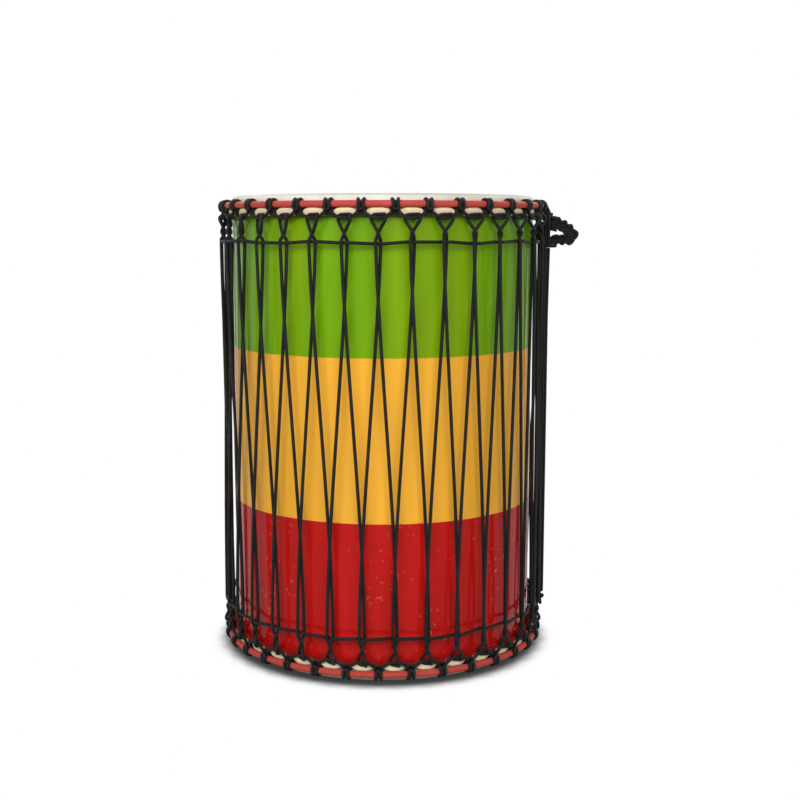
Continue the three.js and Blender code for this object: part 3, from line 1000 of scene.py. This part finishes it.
def arm_points(lay, end, angle, way):
    """From the first crossing to the second: way is 1 for the right arm and -1 for the left one"""
    sizes = lay.sizes
    cross = sizes.weave_drop - end.lead
    cage = lay.cage_radius
    across = way * CROSS_DEPTH_SHARE * sizes.pair_depth
    points = [lay.place(end, angle, 0, cage - across, cross)]
    for side, depth, down in ARM:
        radius = cage + way * depth * sizes.pair_depth
        points.append(lay.place(end, angle, way * side * sizes.pair_side, radius, cross + down * end.lead))
    points.append(lay.place(end, angle, 0, cage + across, end.diamond))
    return points


def lacing_points(lay):
    points = []
    for loop in range(lay.sizes.loop_count):
        lower = lay.bottom.phase + loop * lay.pitch
        upper = lower + lay.pitch / 2
        points += arm_points(lay, lay.bottom, lower, 1)
        points += arm_points(lay, lay.top, upper, -1)[::-1]
        points += turn_points(lay, lay.top, upper)
        points += arm_points(lay, lay.top, upper, 1)
        points += arm_points(lay, lay.bottom, lower + lay.pitch, -1)[::-1]
        points += turn_points(lay, lay.bottom, lower + lay.pitch)
    return points + points[:1]


class DUNUN_OT_lacing(bpy.types.Operator):
    """Laces the two ends together and knots the lacing"""

    bl_idname = "dunun.lacing"
    bl_label = "Lacing"

    def execute(self, context):
        lay = layout()
        rope_piece("lacing_rope_laced", "lacing_rope", [(lacing_points(lay), False)], LONG_ROPE_SIDES)
        tied_knot("lacing_knot_tied", "lacing_knot", lay.bottom.phase, 1, **LACING_KNOT)
        return {"FINISHED"}


# Weave ropes: sides and depths are shares of the pair's, and the rows sag where they were tied by hand

WEAVE = [(-2.6, -0.62), (-1.9, -0.85), (-1, -0.92), (0, 0), (1, 0.92), (1.9, 0.85), (2.6, 0.62)]
WEAVE_SAG = 0.0012
SAG_TURN = 1.9


class DUNUN_OT_weave_ropes(bpy.types.Operator):
    """Weaves a rope through the lacing at each end"""

    bl_idname = "dunun.weave_ropes"
    bl_label = "Weave ropes"

    def execute(self, context):
        lay = layout()
        sizes = lay.sizes
        for end in lay.ends:
            points = []
            for loop in range(sizes.loop_count):
                angle = end.phase + loop * lay.pitch
                drop = sizes.weave_drop + WEAVE_SAG * (1 - math.cos(loop * SAG_TURN))
                for side, depth in WEAVE:
                    radius = lay.cage_radius + depth * sizes.pair_depth
                    points.append(lay.place(end, angle, side * sizes.pair_side, radius, drop))
            name = f"{end.name}_weave_rope"
            rope_piece(f"{name}_woven", name, [(points, True)], LONG_ROPE_SIDES)
        return {"FINISHED"}


# Tail rope, hitches and handle, all at +X

TAIL_TOP_LEAN = 0.0012
TAIL_KNOT_INSET = 0.001
TAIL_BESIDE_SHARE = 0.86
BESIDE_SIDE = -0.0078


def turning(first_turn, last_turn, first_place, last_place, count):
    """Even steps of an angle, given in whole turns, each with a place along the axis"""
    return zip(steps(TURN * first_turn, TURN * last_turn, count), steps(first_place, last_place, count))


def helix(centre, radius, first_turn, last_turn, low, high, count=28):
    """Turns about an upright line, counted from +X"""
    return [
        (centre[0] + radius * math.cos(turn), centre[1] + radius * math.sin(turn), height)
        for turn, height in turning(first_turn, last_turn, low, high, count)
    ]


def wraps(centre, reach, left, right, first_turn, last_turn, count=24):
    """Turns round a level rope or rod that runs along Y, counted from outwards to upwards"""
    return [
        (centre[0] + reach * math.cos(turn), side, centre[1] + reach * math.sin(turn))
        for turn, side in turning(first_turn, last_turn, left, right, count)
    ]


class DUNUN_OT_tail(bpy.types.Operator):
    """Runs the tail rope up the outside of the lacing from its knot on the bottom weave rope"""

    bl_idname = "dunun.tail"
    bl_label = "Tail rope"

    def execute(self, context):
        lay = layout()
        low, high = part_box("tail_rope")
        radius = lay.tail_radius
        step = lay.rope_step
        run = [(radius, 0, height) for height in steps(low.z, high.z, 6)]
        run[-1] = (radius + TAIL_TOP_LEAN, 0, high.z + step)
        beside = radius - TAIL_BESIDE_SHARE * step
        foot, head = lay.bottom.height(lay.sizes.weave_drop), lay.top.height(lay.sizes.top_diamond)
        doubled = [(beside, BESIDE_SIDE / 2, height) for height in steps(foot + step, head, 5)]
        tip = lay.top.height(lay.sizes.weave_drop) - step
        doubled.append((radius - lay.rope_radius * 1.5, BESIDE_SIDE, tip))
        rope_piece("tail_rope_run", "tail_rope", [(run, False), (doubled, False)])
        weave = (lay.cage_radius, lay.sizes.weave_drop)
        tie = [(radius, 0, low.z + TAIL_KNOT_INSET)]
        tie += wraps(weave, step, 0, -step, 0.1, -0.92, 22)
        tie += wraps(weave, step * 1.9, -step * 0.6, step * 0.6, -1.0, -1.07, 3)
        tie += wraps(weave, step, step, step, -1.2, -1.95, 14)
        tie.append((weave[0] + step * 1.3, step * 0.3, weave[1] - step * 2.8))
        rope_piece("tail_knot_tied", "tail_knot", [(tie, False)])
        return {"FINISHED"}


# Lugs of the upper hitch: how far back and up each strand lies and its side, in rope steps.
# Risers stand beside the handle, at a distance from the axis and a side.

LUG_BELOW_RING = 0.015
LUGS = [(0, 0, 1.6), (0.9, 0.95, 1.05), (1.7, 1.8, 0.5)]
RISERS = [(0.2182, -0.0034), (0.2172, -0.0084), (0.2206, -0.0106), (0.2166, 0.0064)]


class DUNUN_OT_hitches(bpy.types.Operator):
    """Ties the handle's two hitches: one on the crown ring, one on the top weave rope"""

    bl_idname = "dunun.hitches"
    bl_label = "Handle hitches"

    def execute(self, context):
        lay = layout()
        step = lay.rope_step
        crown = (lay.crown_radius, lay.top.height(lay.sizes.crown_drop))
        lug = crown[1] - LUG_BELOW_RING
        strands = []
        for back, rise, side in LUGS:
            centre = (lay.hinge_radius - back * step, 0)
            height = lug + rise * step
            left = wraps(crown, lay.hug, -side * step, -side * step / 2, 0.6 + side, 0.1)
            turn = helix(centre, lay.eye_radius - back * step / 3, -0.3, 0.3, height, height, 8)
            right = wraps(crown, lay.hug, side * step / 2, side * step, -0.1, -0.6 - side)
            strands.append((left + turn + right, False))
        rope_piece("handle_upper_hitch_tied", "handle_upper_hitch", strands)
        weave = (lay.cage_radius, lay.top.height(lay.sizes.weave_drop))
        side = 2.1 * step
        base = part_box("handle")[0].z - step / 2
        left = wraps(weave, step, -side, -side, 0.95, -0.03, 12)
        turn = helix((lay.hinge_radius, 0), lay.eye_radius, -0.35, 0.35, base, base, 10)
        right = wraps(weave, step, side, side, -0.05, 0.9, 12)
        head = crown[1] - lay.hug - lay.rope_radius
        strands = [([(*place, height) for height in steps(base, head, 5)], False) for place in RISERS]
        strands.insert(0, (left + turn + right, False))
        rope_piece("handle_lower_hitch_tied", "handle_lower_hitch", strands)
        return {"FINISHED"}


# A stitch of the handle's chain: a share of the pitch along it, and rope diameters across and deep.
# Cores are the strands inside the chain, in rope diameters across and deep. The chain's width changes
# along it, and its middle line is in shares of the handle's reach and rise.

STITCH = [
    (0, 0.35, -0.4), (0.3, 0.7, 0.3), (0.62, 1.02, 0.7), (0.92, 1.4, 0.55), (1.2, 1.02, 0.25),
    (1.5, 0.5, 0.1), (1.64, 0, 0), (1.5, -0.5, 0.1), (1.2, -0.95, 0.45), (0.75, -1.12, 0.75),
    (0.3, -0.75, 0.4), (0, -0.3, -0.4), (0.2, -0.3, -0.85), (0.55, 0, -1.0), (0.8, 0.25, -0.85),
]
STITCH_COUNT = 7
CORES = [(-0.9, -0.1), (-0.3, 0.15), (0.35, 0), (0.85, -0.25), (0.05, -0.35)]
CHAIN_WIDTH = [(0, 1.22), (0.5, 1.2), (0.68, 1.0), (1, 0.95)]
HANDLE_ROUTE = [
    (-0.08, 0.61), (0.2, 0.56), (0.52, 0.42), (0.76, 0.27),
    (0.85, 0.14), (0.76, 0.03), (0.42, 0.01), (0, 0.02),
]
LOOK_AHEAD = 0.002


def handle_route(lay, low, high):
    """The middle line of the chain, and the way travelled to each of its points"""
    base = low.z + lay.sizes.handle_thickness / 2
    rise = high.z - base
    hinge, reach = lay.hinge_radius, lay.sizes.handle_reach
    route = spline([(hinge + out * reach, 0, base + up * rise) for out, up in HANDLE_ROUTE], False)
    travel = np.concatenate([[0], np.cumsum(np.linalg.norm(np.diff(route, axis=0), axis=1))])
    return route, travel


class DUNUN_OT_handle(bpy.types.Operator):
    """Chains the spare rope into the handle that swings on its two hitches"""

    bl_idname = "dunun.handle"
    bl_label = "Handle"

    def execute(self, context):
        lay = layout()
        low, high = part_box("handle")
        route, travel = handle_route(lay, low, high)
        total = travel[-1]
        pitch = total / (STITCH_COUNT + 0.4)
        diameter = lay.sizes.rope_diameter

        def on_route(at):
            return np.array([np.interp(at, travel, route[:, axis]) for axis in range(3)])

        def on_chain(along, across, deep):
            at = min(max(along, 0), total - 1e-6)
            here = on_route(at)
            way = on_route(at + LOOK_AHEAD) - on_route(at - LOOK_AHEAD)
            way /= np.linalg.norm(way)
            normal = np.cross(way, (0, 1, 0))
            here = here + way * (along - at)
            wide = np.interp(at / total, *zip(*CHAIN_WIDTH)) * across * diameter
            return tuple(here + normal * wide + np.array((0, -1, 0)) * deep * diameter)

        chain = []
        for stitch in range(STITCH_COUNT):
            for along, across, deep in STITCH:
                chain.append(on_chain((stitch + along) * pitch, across, deep))
        hinge = (lay.hinge_radius, 0)
        top = lay.top.height(lay.sizes.crown_drop) - LUG_BELOW_RING - lay.rope_step
        base = low.z + lay.rope_radius
        upper = helix(hinge, lay.eye_radius, -3.1, 0, top, top - 2.9 * diameter)
        lower = helix(hinge, lay.eye_radius, 0, 1.4, base + 1.4 * diameter, base + 0.1 * diameter)
        lower += helix(hinge, lay.eye_radius, 1.5, 2.3, base, base, 12)
        strands = [(upper + chain + lower, False)]
        for side, deep in CORES:
            core = [on_chain(share * total, side, deep) for share in steps(0, 0.98, 16)]
            strands.append((core, False))
        rope_piece("handle_chained", "handle", strands, body="handle_loop")
        return {"FINISHED"}


# Stage

FLOOR_DROP = 0.0004
FLOOR_SIZE = 30
FLOOR_GREY = (0.45, 0.45, 0.45, 1)
CONTACT_REACH = 0.03
CONTACT_POWER = 1.7
WHITE = (1, 1, 1, 1)


def seen_by(tree, *kinds):
    """1 for the named kinds of rays and 0 for others"""
    path = add_node(tree, "LightPath").outputs
    seen, *others = [Signal(path[f"Is {kind} Ray"]) for kind in kinds]
    for ray in others:
        seen = seen.larger(ray)
    return seen


def stage_material():
    """A white floor, dark only where the drum stands close over it"""
    material = bpy.data.materials.new("Stage floor")
    material.use_nodes = True
    tree = material.node_tree
    tree.nodes.clear()
    plain = put(tree, "BsdfDiffuse", FLOOR_GREY)
    near = put(tree, "AmbientOcclusion", None, CONTACT_REACH, out="AO", samples=16, only_local=False)
    white = put(tree, "Emission", WHITE, (near**CONTACT_POWER).ranged(0, 0.96, 0.04, 1))
    add_node(tree, "OutputMaterial", seen_by(tree, "Camera", "Glossy").feed("MixShader", plain, white))
    return material


def light_world(ambient):
    """White where it is seen or mirrored, and softer as a lamp"""
    world = bpy.data.worlds.new("Studio")
    bpy.context.scene.world = world
    world.use_nodes = True
    background = world.node_tree.nodes["Background"].inputs
    fill(background["Color"], WHITE)
    seen = seen_by(world.node_tree, "Camera", "Transmission", "Glossy")
    fill(background["Strength"], seen.larger(ambient))


LAMPS = [
    ("Front left", (-23, 2, 1.25), (1.4, 1), 1),
    ("Front right", (19, 2, 1.25), (1.4, 1), 0.95),
    ("Behind left", (-145, 2, 1.75), (1.4, 1), 0.95),
    ("Behind right", (145, 2, 1.75), (1.4, 1), 0.95),
    ("Top", (0, 0, 2.6), (1.4, 1.4), 0.12),
]


def before_drum(azimuth, distance, height):
    return (distance * math.sin(azimuth), -distance * math.cos(azimuth), height)


def add_lamps(power):
    """Each lamp has an azimuth from the front, a distance and a height, then its size and share of power"""
    for name, (azimuth, distance, height), (width, tall), share in LAMPS:
        turn = math.radians(azimuth)
        lamp = bpy.data.lights.new(name, "AREA")
        lamp.shape = "RECTANGLE"
        lamp.size = width
        lamp.size_y = tall
        lamp.energy = power * share
        holder = bpy.data.objects.new(name, lamp)
        holder.location = before_drum(turn, distance, height)
        aim = Vector((0, 0, DRUM_HEIGHT / 2)) - holder.location
        holder.rotation_euler = aim.to_track_quat("-Z", "Y").to_euler()
        bpy.context.scene.collection.objects.link(holder)


def add_camera(studio):
    data = bpy.data.cameras.new("Camera")
    data.sensor_width = SENSOR_WIDTH
    data.lens = SENSOR_WIDTH * studio.focal_pixels / IMAGE_WIDTH
    data.shift_x = (IMAGE_WIDTH / 2 - studio.centre_pixels) / IMAGE_WIDTH
    camera = bpy.data.objects.new("Camera", data)
    turn = studio.camera_azimuth
    camera.location = before_drum(turn, studio.camera_distance, studio.camera_height)
    camera.rotation_euler = (math.pi / 2 - studio.camera_pitch, 0, turn)
    bpy.context.scene.collection.objects.link(camera)
    bpy.context.scene.camera = camera


class DUNUN_OT_stage(bpy.types.Operator):
    """Sets the camera, the lamps and a white floor"""

    bl_idname = "dunun.stage"
    bl_label = "Stage"

    def execute(self, context):
        studio = context.scene.dunun_studio
        context.scene.view_settings.view_transform = "Standard"
        add_camera(studio)
        add_lamps(studio.lamp_power)
        light_world(studio.ambient)
        bpy.ops.object.select_all(action="DESELECT")
        bpy.ops.mesh.primitive_plane_add(size=FLOOR_SIZE, location=(0, 0, -FLOOR_DROP))
        bpy.ops.object.transform_apply()
        floor = name_active("stage_floor")
        floor.data.materials.append(stage_material())
        return {"FINISHED"}


class DUNUN_PT_panel(bpy.types.Panel):
    """Lists the steps that build the drum"""

    bl_label = "Dunun"
    bl_idname = "DUNUN_PT_panel"
    bl_space_type = "VIEW_3D"
    bl_region_type = "UI"
    bl_category = "Dunun"

    def draw(self, context):
        for title in SETTINGS:
            settings = getattr(context.scene, title)
            box = self.layout.box()
            for name in settings.__annotations__:
                box.prop(settings, name)
        for operator in OPERATORS:
            self.layout.operator(operator.bl_idname)


OPERATORS = (
    DUNUN_OT_stage,
    DUNUN_OT_shell,
    DUNUN_OT_skins,
    DUNUN_OT_rings,
    DUNUN_OT_loop_ropes,
    DUNUN_OT_lacing,
    DUNUN_OT_weave_ropes,
    DUNUN_OT_tail,
    DUNUN_OT_hitches,
    DUNUN_OT_handle,
)
SETTINGS = {"dunun_sizes": DununSizes, "dunun_colours": DununColours, "dunun_studio": DununStudio}
CLASSES = (*SETTINGS.values(), *OPERATORS, DUNUN_PT_panel)


def register():
    for item in CLASSES:
        bpy.utils.register_class(item)
    for name, settings in SETTINGS.items():
        setattr(bpy.types.Scene, name, bpy.props.PointerProperty(type=settings))


def unregister():
    for name in SETTINGS:
        delattr(bpy.types.Scene, name)
    for item in reversed(CLASSES):
        bpy.utils.unregister_class(item)


def main():
    register()
    for operator in OPERATORS:
        family, name = operator.bl_idname.split(".")
        getattr(getattr(bpy.ops, family), name)()


if __name__ == "__main__":
    main()
